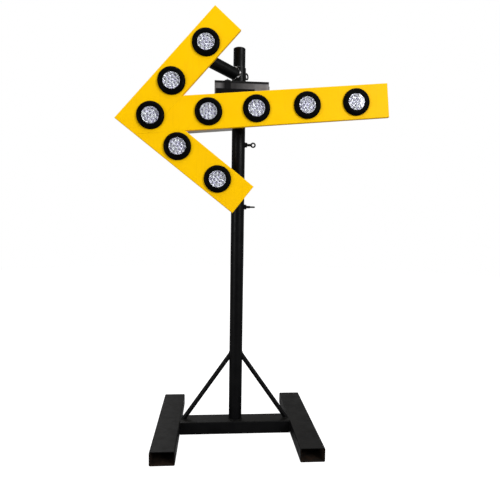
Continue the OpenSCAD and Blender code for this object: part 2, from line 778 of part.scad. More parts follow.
module toggle_lever() {
    color(steel) arrow_axes() translate([toggle_at[0], toggle_at[1], ctrl_back]) {
        sphere(r = 3.6);
        rotate([0, 90, 0]) cylinder(r = 1, h = 7.8, center = true);
        rotate([12, 0, 0]) translate([0, 0, -18]) cylinder(r1 = 2.7, r2 = 1.6, h = 18);
        rotate([12, 0, 0]) translate([0, 0, -18]) sphere(r = 2.7);
    }
}
module control_gland_axes() {
    translate([ctrl_x + ctrl_w / 2 - 30, ctrl_y + ctrl_h / 2, ctrl_front - 38])
        rotate([-90, 0, 0]) children();
}
module control_gland() {
    color(rubber) arrow_axes() control_gland_axes() difference() {
        union() {
            translate([0, 0, -ctrl_t - 3]) cylinder(r = 8, h = ctrl_t + 3);
            hexagon(20, 6);
            translate([0, 0, 6]) rotate_extrude() polygon([[0, 0], [8.5, 0], [8.5, 5], [6, 9], [0, 9]]);
        }
        translate([0, 0, -10]) cylinder(r = 3.5, h = 40);
    }
}
left_foot();
right_foot();
crossbar();
left_brace();
right_brace();
outer_mast();
mast_nuts();
inner_mast();
mast_cap();
upper_eye_screw();
upper_screw_pad();
lower_eye_screw();
lower_screw_pad();
head_sleeve();
head_nut();
head_eye_screw();
head_screw_pad();
stay_arm();
slot_plate();
head_bracket();
battery_case();
case_strap();
strap_bolt();
battery_gland();
battery_drawer();
battery_pack();
drawer_knob();
upper_arm_panel();
lower_arm_panel();
shaft_panel();
junction_plate();
arm_carrier();
shaft_carrier();
box_straps();
panel_rivets();
pivot_bolt();
pivot_nut();
clamp_bolt();
clamp_nut();
lamp_grommets();
lamp_housings();
led_boards();
lamp_harness();
for (i = [1 : lens_count]) lamp_lens(i - 1);
control_case();
control_cover();
cover_screws();
mount_screws();
flasher_board();
toggle_switch();
toggle_lever();
control_gland();
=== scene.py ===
"""Finished surfaces and studio for a lamp arrow board on a telescopic mast.

Metres. The mast axis is the Z axis, the floor is Z = 0 and the lamps face -Y.
"""
import json
import math

import bmesh
import bpy
import numpy as np
from mathutils import Matrix, Vector
from mathutils.geometry import delaunay_2d_cdt

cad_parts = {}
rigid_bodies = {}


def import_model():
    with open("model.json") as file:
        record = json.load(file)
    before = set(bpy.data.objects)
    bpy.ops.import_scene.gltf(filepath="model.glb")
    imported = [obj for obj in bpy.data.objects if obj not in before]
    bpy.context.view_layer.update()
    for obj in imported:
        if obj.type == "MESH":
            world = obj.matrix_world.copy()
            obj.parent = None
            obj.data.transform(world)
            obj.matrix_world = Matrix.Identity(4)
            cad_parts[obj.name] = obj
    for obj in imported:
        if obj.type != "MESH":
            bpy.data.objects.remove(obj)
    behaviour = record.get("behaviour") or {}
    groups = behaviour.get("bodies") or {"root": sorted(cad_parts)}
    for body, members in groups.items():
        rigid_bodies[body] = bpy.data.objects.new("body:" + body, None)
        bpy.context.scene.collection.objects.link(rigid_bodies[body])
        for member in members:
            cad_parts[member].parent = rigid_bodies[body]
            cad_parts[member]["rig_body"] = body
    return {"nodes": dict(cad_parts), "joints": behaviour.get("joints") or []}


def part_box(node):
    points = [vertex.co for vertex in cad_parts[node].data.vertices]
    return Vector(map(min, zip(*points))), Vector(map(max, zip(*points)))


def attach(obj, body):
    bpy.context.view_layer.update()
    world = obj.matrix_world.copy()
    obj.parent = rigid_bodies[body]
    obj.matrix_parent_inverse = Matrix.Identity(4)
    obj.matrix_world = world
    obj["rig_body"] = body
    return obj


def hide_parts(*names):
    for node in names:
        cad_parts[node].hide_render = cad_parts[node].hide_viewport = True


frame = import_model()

bl_info = {
    "name": "Arrow Board Finishes",
    "version": (1, 0, 0),
    "blender": (4, 5, 0),
    "location": "3D View > Sidebar > Arrow Board",
    "description": "Builds the finished surfaces of a lamp arrow board and a studio for it",
    "category": "Object",
}

MM = 0.001
TURN = 2 * math.pi
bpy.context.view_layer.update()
JOINTS = {joint["name"]: joint for joint in frame["joints"]}
NODES = frame["nodes"]


# ---------- colours and nodes ----------
def linear(code):
    """sRGB hex to linear: c / 12.92 in the dark, ((c + 0.055) / 1.055) to the power 2.4 above."""
    channels = [int(code[i:i + 2], 16) / 255 for i in (1, 3, 5)]
    return tuple(c / 12.92 if c <= 0.04045 else ((c + 0.055) / 1.055) ** 2.4 for c in channels)


def paint(code):
    """Hex colour as a linear RGBA socket value."""
    return (*linear(code), 1.0)


def add(tree, kind, links=None, values=None, **settings):
    """Adds one node: settings are its properties, values its socket values, links its inputs."""
    node = tree.nodes.new(kind)
    for key, value in settings.items():
        setattr(node, key, value)
    for key, value in (values or {}).items():
        node.inputs[key].default_value = value
    for key, source in (links or {}).items():
        tree.links.new(source, node.inputs[key])
    return node


class Finish:
    """A material whose patterns lie in object coordinates and feed one Principled shader.

    Sizes of patterns and depths of bumps are given in millimetres.
    """

    def __init__(self, name, **values):
        self.material = bpy.data.materials.new(name)
        self.material.use_nodes = True
        self.tree = self.material.node_tree
        self.inputs = self.tree.nodes["Principled BSDF"].inputs
        for key, value in values.items():
            self.inputs[key.replace("_", " ")].default_value = value
        self.coords = self.add("ShaderNodeTexCoord").outputs["Object"]

    def add(self, kind, links=None, values=None, **settings):
        return add(self.tree, kind, links, values, **settings)

    def ramp(self, value, low, high, start=0.0, end=1.0):
        """A value that goes from start to end as the given one goes from low to high."""
        span = {"From Min": low, "From Max": high, "To Min": start, "To Max": end}
        return self.add("ShaderNodeMapRange", {"Value": value}, span).outputs["Result"]

    def maths(self, operation, first, second, **settings):
        node = self.add("ShaderNodeMath", {0: first, 1: second}, operation=operation, **settings)
        return node.outputs[0]

    def patches(self, size, low=0.0, high=1.0, detail=3.0):
        """Soft patches of that size, as a value that runs from low to high."""
        noise = self.add("ShaderNodeTexNoise", {"Vector": self.coords},
                         {"Scale": 1 / (size * MM), "Detail": detail})
        return self.ramp(noise.outputs["Fac"], 0.36, 0.64, low, high)

    def settled(self, most):
        """Where dust settles: faces that look up, in patches of 90 mm, as a value from 0 to most."""
        normal = self.add("ShaderNodeTexCoord").outputs["Normal"]
        up = self.add("ShaderNodeSeparateXYZ", {"Vector": normal}).outputs["Z"]
        return self.maths("MULTIPLY", self.ramp(up, 0.5, 0.95, 0.0, most), self.patches(90, 0.55))

    def blended(self, factor, first, second):
        """Colour that goes from first to second with the factor; each is hex or a socket."""
        links, values = {0: factor}, {}
        for slot, colour in ((6, first), (7, second)):
            if isinstance(colour, str):
                values[slot] = paint(colour)
            else:
                links[slot] = colour
        return self.add("ShaderNodeMix", links, values, data_type="RGBA").outputs[2]

    def colour(self, factor, first, second):
        self.tree.links.new(self.blended(factor, first, second), self.inputs["Base Color"])

    def rough(self, size, low, high):
        self.tree.links.new(self.patches(size, low, high), self.inputs["Roughness"])

    def bump(self, height, depth, strength=1.0):
        """Raises the surface by that depth where height is 1."""
        node = self.add("ShaderNodeBump", {"Height": height},
                        {"Distance": depth * MM, "Strength": strength})
        self.tree.links.new(node.outputs["Normal"], self.inputs["Normal"])


# ---------- finishes ----------
def satin_black_enamel(name, base="#030304", worn="#080809", gloss=0.36, shine=0.1):
    """Brushed-on black enamel over mill steel: a soft sheen with orange peel, and dust on top."""
    enamel = Finish(name, IOR=1.5, Specular_IOR_Level=shine)
    body = enamel.blended(enamel.patches(70), base, worn)
    enamel.colour(enamel.settled(0.035), body, "#77736c")
    enamel.rough(38, gloss, gloss + 0.16)
    # orange peel is about 1 mm across and is drawn at 7 mm so that it shows
    enamel.bump(enamel.patches(7, detail=1.0), 0.12)
    return enamel.material


def weld_painted_glints():
    """Black enamel over a ground weld bead, with painted glints: light grey spots 6 mm across."""
    weld = Finish("weld_painted_glints", Roughness=0.24, IOR=1.5)
    # painted glints: light grey spots on the black stand in for highlights on the bead's ripples
    weld.colour(weld.patches(6, -1.0, 0.8), "#0b0b0c", "#d8d8da")
    weld.bump(weld.patches(3), 0.2)
    return weld.material


def grey_enamel_painted_reflection(low, high):
    """Grey stove enamel with painted reflections that lighten it towards both ends, most at the right.

    The box from low to high is the case's own; the top 10 mm is black.
    """
    sheet = Finish("grey_enamel_painted_reflection", IOR=1.5, Specular_IOR_Level=0.25)
    place = sheet.add("ShaderNodeSeparateXYZ", {"Vector": sheet.coords}).outputs
    # painted reflections: lighter from 90 mm in towards the right end, and over the first 40 mm at the left
    # end, in random patches
    right = sheet.ramp(place["X"], low.x + 90 * MM, high.x)
    left = sheet.ramp(place["X"], low.x + 40 * MM, low.x + 20 * MM, 0.0, 0.45)
    painted_reflection_mask = sheet.maths("MULTIPLY", sheet.maths("ADD", right, left), sheet.patches(40, 0.6, 1.1),
                         use_clamp=True)
    body = sheet.blended(painted_reflection_mask, "#2c2b2c", "#8a898c")
    sheet.colour(sheet.ramp(place["Z"], high.z - 11 * MM, high.z - 9 * MM), body, "#060606")
    sheet.rough(30, 0.3, 0.45)
    sheet.bump(sheet.patches(7, detail=1.0), 0.1)
    return sheet.material


def tube_bore():
    """Inside of an open box section: thin overspray that has gone to brown rust further in."""
    bore = Finish("rusted_bore", Roughness=0.85, Specular_IOR_Level=0.2)
    bore.colour(bore.patches(24, detail=6.0), "#17120e", "#2c1e14")
    bore.bump(bore.patches(5, detail=5.0), 0.4)
    return bore.material


def yellow_powder_coat(name, colour):
    """Sprayed and baked polyester powder: even colour, a broad gloss and a slight orange peel."""
    powder = Finish(name, IOR=1.5, Specular_IOR_Level=0.06)
    faded = powder.blended(powder.patches(160), colour, "#fdc400")
    # rain has left thin runs of grime, 9 mm wide and about 130 mm long
    stretched = powder.add("ShaderNodeMapping", {"Vector": powder.coords},
                           {"Scale": (1 / (9 * MM), 1 / (9 * MM), 1 / (130 * MM))})
    noise = powder.add("ShaderNodeTexNoise", {"Vector": stretched.outputs["Vector"]},
                       {"Scale": 1.0, "Detail": 4.0})
    powder.colour(powder.ramp(noise.outputs["Fac"], 0.56, 0.8, 0.0, 0.16), faded, "#c48a0c")
    powder.rough(60, 0.34, 0.46)
    # powder coat ripples are 1 to 2 mm across and are drawn at 6 mm so that they show
    powder.bump(powder.patches(6, detail=1.0), 0.06)
    return powder.material


def moulded_rubber():
    """Carbon-black EPDM from a steel mould: deep black, dull, with a grey bloom on its shoulders."""
    rubber = Finish("moulded_rubber", IOR=1.52, Specular_IOR_Level=0.03)
    bloom = rubber.blended(rubber.patches(20), "#020202", "#060606")
    rubber.colour(rubber.settled(0.03), bloom, "#5c5a57")
    rubber.rough(12, 0.42, 0.6)
    rubber.bump(rubber.patches(3, detail=4.0), 0.12)
    return rubber.material


def clear_polycarbonate():
    """Injection-moulded polycarbonate lens: clear, glossy, with pillow optics 6 mm across."""
    clear = Finish("clear_polycarbonate", IOR=1.58, Roughness=0.05, Transmission_Weight=1.0,
                   Base_Color=paint("#f4f6fa"))
    pillows = clear.add("ShaderNodeTexVoronoi", {"Vector": clear.coords}, {"Scale": 1 / (6 * MM)},
                        feature="SMOOTH_F1")
    clear.bump(pillows.outputs["Distance"], 0.3, 0.35)
    return clear.material


def metallised_reflector():
    """Vacuum-metallised plastic cups: mirror bright, with a violet to green tint of the lacquer."""
    mirror = Finish("metallised_reflector", Metallic=0.6)
    mirror.colour(mirror.patches(6, detail=2.0), "#c9c3dc", "#f6faf0")
    mirror.rough(5, 0.08, 0.26)
    mirror.bump(mirror.patches(2.5, detail=2.0), 0.15)
    return mirror.material


def led_epoxy():
    """Epoxy over an unlit die: a small glossy bead between violet and grey."""
    epoxy = Finish("led_epoxy", Roughness=0.12, IOR=1.5)
    epoxy.colour(epoxy.patches(4), "#3b3350", "#6e6a80")
    return epoxy.material


def bright_zinc():
    """Electroplated zinc with a clear passivate: pale grey metal with cloudy patches."""
    zinc = Finish("bright_zinc", Metallic=1.0)
    zinc.colour(zinc.patches(8), "#a4a8ad", "#cdd0d3")
    zinc.rough(6, 0.24, 0.42)
    zinc.bump(zinc.patches(1.5), 0.04)
    return zinc.material


def turned_steel():
    """Free-cutting steel off the lathe: bright, with fine rings and a little oil."""
    steel = Finish("turned_steel", Metallic=1.0)
    steel.colour(steel.patches(3), "#8f8f90", "#bdbcba")
    rings = steel.add("ShaderNodeTexWave", {"Vector": steel.coords}, {"Scale": 1 / (2 * MM)},
                      wave_type="RINGS", rings_direction="X")
    steel.rough(3, 0.25, 0.4)
    steel.bump(rings.outputs["Fac"], 0.03)
    return steel.material


def moulded_plastic(name, base, light, rough):
    """Injection-moulded plastic with a spark-eroded grain, drawn at about 1.6 mm so that it shows."""
    plastic = Finish(name, IOR=1.5)
    tone = plastic.blended(plastic.patches(50), base, light)
    plastic.colour(plastic.settled(0.12), tone, "#8a867f")
    plastic.rough(18, rough - 0.06, rough + 0.08)
    plastic.bump(plastic.patches(1.6, detail=2.0), 0.06)
    return plastic.material


def solder_mask():
    """Green solder mask over glass cloth: glossy, with the weave just showing every 2 mm."""
    mask = Finish("solder_mask", Roughness=0.28, IOR=1.5)
    weave = mask.add("ShaderNodeTexChecker", {"Vector": mask.coords},
                     {"Scale": 1 / (2 * MM), "Color1": paint("#14532c"), "Color2": paint("#1b6236")})
    mask.tree.links.new(weave.outputs["Color"], mask.inputs["Base Color"])
    mask.bump(weave.outputs["Fac"], 0.02)
    return mask.material


# ---------- surfaces ----------
def turns(steps):
    """That many equal angles round a full turn, from 0."""
    return np.arange(steps) * TURN / steps


def circle(angle, radius=1.0, height=0.0):
    """Points at radius cos a, radius sin a, height."""
    return np.stack([radius * np.cos(angle), radius * np.sin(angle), height + 0 * angle], -1)


def quads(rows, cols, wrap_rows, wrap_cols):
    """Four-sided faces of a grid of rows x cols points, closed round each way that wraps."""
    i = np.arange(rows if wrap_rows else rows - 1)[:, None]
    j = np.arange(cols if wrap_cols else cols - 1)[None, :]
    k, l = (i + 1) % rows, (j + 1) % cols
    return np.stack([i * cols + j, k * cols + j, k * cols + l, i * cols + l], -1).reshape(-1, 4)


def fan(rim, centre, turned_over=False):
    """Triangles from a closed run of points, given by their numbers, to the centre point."""
    pair = (np.roll(rim, -1), rim) if turned_over else (rim, np.roll(rim, -1))
    return np.stack([*pair, np.full(len(rim), centre)], -1)


def capped(rings, first, last):
    """Closed shell: a grid of rings (rows x steps x 3) that ends in the points first and last."""
    rows, steps = rings.shape[:2]
    rim, count = np.arange(steps), rows * steps
    faces = [quads(rows, steps, False, True), fan(rim, count), fan(count - steps + rim, count + 1, True)]
    return np.concatenate([rings.reshape(-1, 3), [first, last]]), faces


def turned(profile, place, steps=72, closed=False):
    """Surface of revolution: (r, h) at angle a goes to r cos a, r sin a, h in the axes of place.

    An open profile starts and ends on the axis, and each of those ends is one point.
    """
    profile = np.asarray(profile, float)
    rows = profile if closed else profile[1:-1]
    rings = circle(turns(steps), rows[:, :1], rows[:, 1:])
    if closed:
        points, faces = rings.reshape(-1, 3), [quads(len(rows), steps, True, True)]
    else:
        points, faces = capped(rings, (0, 0, profile[0, 1]), (0, 0, profile[-1, 1]))
    return put(points, place), faces, 0


def put(points, place):
    """Points carried from the axes of place (a 4 x 4 matrix) to the frame."""
    return points @ place[:3, :3].T + place[:3, 3]


def axes(origin, out, side=(0, 0, 1)):
    """4 x 4 matrix at origin with Z along out and X as near to side as it can be."""
    z = np.asarray(out, float) / np.linalg.norm(out)
    x = np.asarray(side, float) - np.dot(side, z) * z
    x /= np.linalg.norm(x)
    place = np.eye(4)
    place[:3, 0], place[:3, 1], place[:3, 2], place[:3, 3] = x, np.cross(z, x), z, origin
    return place


def rounded(points, radii, steps=5):
    """Polyline whose corner i is rounded by a parabola that starts radii[i] before the corner."""
    points = np.asarray(points, float)
    t = np.linspace(0, 1, steps)[:, None]
    made = []
    for before, corner, after, radius in zip(np.roll(points, 1, 0), points, np.roll(points, -1, 0), radii):
        if radius == 0:
            made.append(corner[None])
            continue
        start = corner + (before - corner) * radius / np.linalg.norm(before - corner)
        end = corner + (after - corner) * radius / np.linalg.norm(after - corner)
        made.append((1 - t) ** 2 * start + 2 * t * (1 - t) * corner + t ** 2 * end)
    return np.concatenate(made)


def rounded_box_outline(width, height, radius, steps=6):
    """Rectangle about the origin with round corners."""
    x, y = width / 2, height / 2
    return rounded([(-x, -y), (x, -y), (x, y), (-x, y)], [radius] * 4, steps)


def swept(path, radius, u, v, sides):
    """Rings of that many points round each point of path, in the plane of unit vectors u and v."""
    angle = turns(sides)[:, None]
    return path[:, None] + radius[:, None, None] * (np.cos(angle) * u[:, None] + np.sin(angle) * v[:, None])


def bead(path, radius, across, closed=True, ripple=5 * MM):
    """Weld bead: a circle of that radius carried along path, swelling by a fifth at each ripple."""
    path = np.asarray(path, float)
    ahead = np.roll(path, -1, 0) - np.roll(path, 1, 0)
    if not closed:
        ahead[0], ahead[-1] = path[1] - path[0], path[-1] - path[-2]
    ahead /= np.linalg.norm(ahead, axis=1)[:, None]
    u = np.cross(ahead, across)
    u /= np.linalg.norm(u, axis=1)[:, None]
    v = np.cross(ahead, u)
    run = np.concatenate([[0], np.cumsum(np.linalg.norm(np.diff(path, axis=0), axis=1))])
    swell = radius * (0.9 + 0.2 * np.abs(np.sin(math.pi * run / ripple)))
    if not closed:
        swell[[0, -1]] = 0.3 * radius
    sides = 10
    rings = swept(path, swell, u, v, sides)
    faces = [quads(len(path), sides, closed, True)]
    if not closed:
        last = (len(path) - 1) * sides
        faces.append(np.array([np.arange(sides)[::-1], last + np.arange(sides)]))
    return rings.reshape(-1, 3), faces, 0


def saddle(origin, along, radius, tube_radius, steps=120):
    """Where a round arm meets a vertical tube about the Z axis.

    At angle a round the arm, the point origin + s along + radius (cos a e1 + sin a e2) lies on
    the tube where x squared + y squared is the tube's radius squared: the larger root s is taken.
    """
    place = axes(origin, along)
    start = put(circle(turns(steps), radius), place)
    flat = place[:3, 2][:2]
    a = flat @ flat
    b = 2 * start[:, :2] @ flat
    c = (start[:, :2] ** 2).sum(1) - tube_radius ** 2
    s = (-b + np.sqrt(np.maximum(b * b - 4 * a * c, 0))) / (2 * a)
    return start + s[:, None] * place[:3, 2]


def make_piece(name, shells, materials, body, slot, replaced=(), sharp=32):
    """One mesh from closed shells (points, face arrays, material index), riding on a body."""
    mesh = bpy.data.meshes.new(name)
    loops, sizes, marks, start = [], [], [], 0
    for points, face_sets, index in shells:
        for faces in face_sets:
            loops.append((np.asarray(faces) + start).ravel())
            sizes.append(np.full(len(faces), np.asarray(faces).shape[1]))
        count = sum(len(faces) for faces in face_sets)
        marks.append(np.broadcast_to(index, count))
        start += len(points)
    points = np.concatenate([shell[0] for shell in shells]).astype(np.float32)
    loops, sizes, marks = np.concatenate(loops), np.concatenate(sizes), np.concatenate(marks)
    mesh.vertices.add(len(points))
    mesh.vertices.foreach_set("co", points.ravel())
    mesh.loops.add(len(loops))
    mesh.loops.foreach_set("vertex_index", loops.astype(np.int32))
    mesh.polygons.add(len(sizes))
    mesh.polygons.foreach_set("loop_start", (np.cumsum(sizes) - sizes).astype(np.int32))
    mesh.polygons.foreach_set("material_index", marks.astype(np.int32))
    mesh.update(calc_edges=True)
    work = bmesh.new()
    work.from_mesh(mesh)
    bmesh.ops.recalc_face_normals(work, faces=work.faces)
    for material in materials:
        mesh.materials.append(material)
    return show(name, mesh, work, sharp, body, slot, replaced)


def show(name, mesh, work, sharp, body, slot, replaced):
    """Writes work to the mesh, shades it smooth up to the sharp angle, and lets it ride on a body."""
    work.to_mesh(mesh)
    work.free()
    mesh.shade_smooth()
    mesh.set_sharp_from_angle(angle=math.radians(sharp))
    piece = bpy.data.objects.new(name, mesh)
    bpy.context.scene.collection.objects.link(piece)
    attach(piece, body)
    if replaced:
        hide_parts(*replaced)
    return piece


def eased(width, material, slot, *nodes):
    """The nodes' own shapes with doubles merged and edges eased by a bevel of that width."""
    for node in nodes:
        mesh = NODES[node].data.copy()
        recoat(mesh, material)
        work = bmesh.new()
        work.from_mesh(mesh)
        bmesh.ops.remove_doubles(work, verts=work.verts, dist=0.01 * MM)
        bmesh.ops.dissolve_limit(work, angle_limit=math.radians(1), verts=work.verts, edges=work.edges)
        for face in work.faces:
            face.material_index = 0
        piece = show(f"{node}_eased", mesh, work, 32, NODES[node]["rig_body"], slot, [node])
        bevel = piece.modifiers.new("eased edges", "BEVEL")
        bevel.width = width
        bevel.segments = 2
        bevel.limit_method = "ANGLE"
        bevel.angle_limit = math.radians(40)


def recoat(mesh, material):
    """Leaves the mesh with that one material."""
    mesh.materials.clear()
    mesh.materials.append(material)


def coat(material, *nodes):
    """Gives carried-over nodes that finish."""
    for node in nodes:
        recoat(NODES[node].data, material)


# ---------- user values ----------
def length(name, description, default):
    """A length property in metres."""
    return bpy.props.FloatProperty(name=name, description=description, default=default,
                                   min=0.0, unit="LENGTH", subtype="DISTANCE")


def turn(name, description, degrees):
    """An angle property, given in degrees."""
    return bpy.props.FloatProperty(name=name, description=description,
                                   default=math.radians(degrees), unit="ROTATION", subtype="ANGLE")


class StandSizes(bpy.types.PropertyGroup):
    """Sizes of the floor stand and its welds"""
    corner: length("Corner radius", "Outer corner radius of the box sections", 6.5 * MM)
    wall: length("Wall", "Wall of the box sections", 3.2 * MM)
    bead: length("Weld bead", "Radius of the weld beads", 3.2 * MM)
    brace_width: length("Brace width", "Outer diameter of the round braces", 21.3 * MM)
    brace_reach: length("Brace reach", "Distance from the mast axis to a brace's foot", 240 * MM)
    brace_top: length("Brace top", "Height at which the braces meet the mast", 356 * MM)


class HeadSizes(bpy.types.PropertyGroup):
    """Sizes of the clamp screws and the stay arm"""
    rod: length("Eye rod", "Rod diameter of the eye rings", 7 * MM)
    thread: length("Thread diameter", "Outer diameter of the clamp screw threads", 12 * MM)
    pitch: length("Thread pitch", "Pitch of the clamp screw threads", 1.75 * MM)
    reach: length("Reach", "Length of clamp screw outside its nut", 18 * MM)
    arm_width: length("Arm width", "Outer diameter of the stay arm", 53 * MM)
    arm_height: length("Arm height", "Height at which the stay arm leaves the mast axis", 1634 * MM)
    arm_turn: turn("Arm direction", "Direction of the stay arm in plan, from -X towards -Y", 32)
    arm_rise: turn("Arm rise", "Rise of the stay arm above level", 12.7)
    edge: length("Eased edge", "Width of the eased edges of plates and cases", 0.8 * MM)


class ArrowSizes(bpy.types.PropertyGroup):
    """Sizes of the folded sheet trays"""
    reach: length("Arrow length", "Overall length of the arrow", 1172 * MM)
    band: length("Tray width", "Width of the three trays", 146 * MM)
    arm: length("Arm length", "Length of each arm along its outer edge", 630 * MM)
    spread: turn("Arm angle", "Angle between each arm and the shaft", 43.5)
    sheet: length("Sheet", "Thickness of the folded sheet", 1.5 * MM)
    fold: length("Fold radius", "Outer radius of the folds", 3 * MM)
    lip: length("Lip", "Width of the inward lips", 12 * MM)
    seam: length("Seam", "Gap between the trays", 0.4 * MM)
    buckle: length("Buckle", "Depth of the slight hollows in the front sheet", 0.5 * MM)


class LampSizes(bpy.types.PropertyGroup):
    """Sizes of the lamps"""
    rim: length("Grommet width", "Outer diameter of the rubber grommets", 117 * MM)
    hole: length("Lamp hole", "Diameter of the lamp holes in the sheet", 100 * MM)
    show: length("Lens width", "Visible diameter of the lenses", 71.5 * MM)
    rise: length("Grommet height", "Height of the grommets in front of the sheet", 14 * MM)
    outer_cells: bpy.props.IntProperty(name="Outer cells", description="Cups in the outer ring",
                                       default=10, min=3)
    inner_cells: bpy.props.IntProperty(name="Inner cells", description="Cups in the inner ring",
                                       default=6, min=3)


def colour(name, description, code):
    """A colour property, given as sRGB hex."""
    return bpy.props.FloatVectorProperty(name=name, description=description, size=3,
                                         subtype="COLOR", default=linear(code), min=0.0, max=1.0)


class StudioValues(bpy.types.PropertyGroup):
    """Camera and floor of the studio"""
    focal: bpy.props.FloatProperty(name="Focal length", description="Lens of the camera, millimetres",
                                   default=33.16, min=1.0)
    place: bpy.props.FloatVectorProperty(name="Camera place", description="Where the camera stands",
                                         size=3, subtype="TRANSLATION", unit="LENGTH",
                                         default=(-0.10527, -2.11648, 0.97999))
    turned: bpy.props.FloatVectorProperty(name="Camera turn", description="Tip up, roll and turn left",
                                          size=3, subtype="EULER", unit="ROTATION",
                                          default=(-0.060728, -0.014129, -0.077861))
    floor: colour("Floor", "Colour of the studio floor", "#a6a6a6")


# ---------- places that several operators use ----------
def arrow_place():
    """Axes of the arrow: origin at its point, X along the shaft, Y up and Z out of the front face."""
    first, last = [sum(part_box(f"lamp_lens_{i}"), Vector()) / 2 for i in (6, 9)]
    tilt = math.atan2(last.z - first.z, last.x - first.x)
    low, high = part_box("upper_arm_panel")
    pivot = JOINTS["arrow_tilt"]["pos_m"]
    place = np.eye(4)
    place[:3, 0] = (math.cos(tilt), 0, math.sin(tilt))
    place[:3, 1] = (-math.sin(tilt), 0, math.cos(tilt))
    place[:3, 2] = (0, -1, 0)
    place[:3, 3] = (low.x, low.y, pivot[2] + (low.x - pivot[0]) * math.tan(tilt))
    return place, high.y - low.y


def lamp_places():
    """Axes of the nine lamps: Z out of the front face, which passes through each origin."""
    place, _ = arrow_place()
    made = []
    for i in range(1, 10):
        low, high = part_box(f"lamp_lens_{i}")
        lamp = place.copy()
        lamp[:3, 3] = ((low.x + high.x) / 2, place[1, 3], (low.z + high.z) / 2)
        made.append(lamp)
    return made


# ---------- stand ----------
def box_tube(node, along, sizes, bore):
    """Round-cornered box section: the outer and inner outlines carried along one axis.

    The rows run from end to end outside, turn over the rim, and come back inside, as one shell.
    """
    low, high = (np.array(corner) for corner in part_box(node))
    across = 1 - along
    middle = (low + high) / 2
    width, height = high[across] - low[across], high[2] - low[2]
    outer = rounded_box_outline(width, height, sizes.corner)
    inner = rounded_box_outline(width - 2 * sizes.wall, height - 2 * sizes.wall,
                                sizes.corner - sizes.wall)
    rim = 0.6 * MM
    start, end = low[along], high[along]
    shrunk, grown = outer * (1 - 2 * rim / height), inner * (1 + 2 * rim / height)
    rows = [(outer, start + rim), (outer, end - rim), (shrunk, end), (grown, end),
            (inner, end - rim), (inner, start + rim), (grown, start), (shrunk, start)]
    points = np.zeros((len(rows), len(outer), 3))
    for row, (outline, place) in enumerate(rows):
        points[row, :, across] = outline[:, 0] + middle[across]
        points[row, :, 2] = outline[:, 1] + middle[2]
        points[row, :, along] = place
    faces = quads(len(rows), len(outer), True, True)
    marks = np.repeat([0, 0, 0, 1, 1, 1, 0, 0] if bore else [0] * 8, len(outer))
    return points.reshape(-1, 3), [faces], marks


class ARROWBOARD_OT_stand(bpy.types.Operator):
    """Feet, crossbar, braces and their weld beads"""
    bl_idname = "arrow_board.stand"
    bl_label = "Floor stand"

    def execute(self, context):
        sizes = context.scene.arrow_board_stand
        black, bore = satin_black_enamel("stand_enamel"), tube_bore()
        for node in ("left_foot", "right_foot"):
            make_piece(f"{node}_section", [box_tube(node, 1, sizes, True)], [black, bore],
                       "stand", "stand_paint", [node])
        make_piece("crossbar_section", [box_tube("crossbar", 0, sizes, False)], [black],
                   "stand", "stand_paint", ["crossbar"])
        coat(black, "left_brace", "right_brace")
        make_piece("stand_welds", self.welds(sizes), [black], "stand", "stand_paint")
        return {"FINISHED"}

    def welds(self, sizes):
        """Beads round the mast's foot, at both ends of the braces and where the bar meets the feet."""
        low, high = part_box("crossbar")
        top, mast = high.z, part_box("outer_mast")[1].x
        round_seam = turns(120)
        shells = [bead(circle(round_seam, mast, top), sizes.bead, (0, 0, 1))]
        slope = math.atan2(sizes.brace_top - top, sizes.brace_reach - mast)
        radius = sizes.brace_width / 2
        for side in (-1, 1):
            along = np.array([side * math.cos(slope), 0, -math.sin(slope)])
            crossing = (0, 0, top + sizes.brace_reach * math.tan(slope))
            shells.append(bead(saddle(crossing, along, radius, mast), 0.7 * sizes.bead, along))
            foot = (circle(round_seam, radius) * (1 / math.sin(slope), 1, 0)
                    + (side * sizes.brace_reach, 0, top))
            shells.append(bead(foot, 0.7 * sizes.bead, (0, 0, 1)))
            # the upright and level seams stop short of the bar's round corners
            end = high.x if side > 0 else low.x
            for y in (low.y, high.y):
                seam = np.linspace((end, y, low.z + 8 * MM), (end, y, top - 6 * MM), 24)
                shells.append(bead(seam, 0.8 * sizes.bead, (1, 0, 0), closed=False))
            height = top - 1.5 * MM
            seam = np.linspace((end, low.y + 6 * MM, height), (end, high.y - 6 * MM, height), 40)
            shells.append(bead(seam, 0.7 * sizes.bead, (1, 0, 0), closed=False))
        return shells


# ---------- masts ----------
class ARROWBOARD_OT_masts(bpy.types.Operator):
    """Outer and inner mast tubes, the cap and the welded nuts"""
    bl_idname = "arrow_board.masts"
    bl_label = "Masts"

    def execute(self, context):
        sizes = context.scene.arrow_board_stand
        black = satin_black_enamel("mast_enamel", gloss=0.32)
        coat(black, "outer_mast", "inner_mast")
        coat(moulded_plastic("black_polyethylene", "#0b0b0c", "#161617", 0.5), "mast_cap")
        eased(0.5 * MM, black, "mast_paint", "mast_nuts")
        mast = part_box("outer_mast")[1].x
        shells = []
        for name in ("upper", "lower"):
            height = JOINTS[f"{name}_screw_turn"]["pos_m"][2]
            shells.append(nut_weld((0, 0, height), (1, 0, 0), mast, sizes.bead))
        make_piece("mast_nut_welds", shells, [black], "stand", "mast_paint")
        return {"FINISHED"}


def nut_weld(origin, out, tube_radius, radius):
    """Bead round the foot of a nut, on the saddle where a circle 10.2 mm in radius meets the tube."""
    return bead(saddle(origin, out, 10.2 * MM, tube_radius), 0.7 * radius, out, ripple=3.5 * MM)


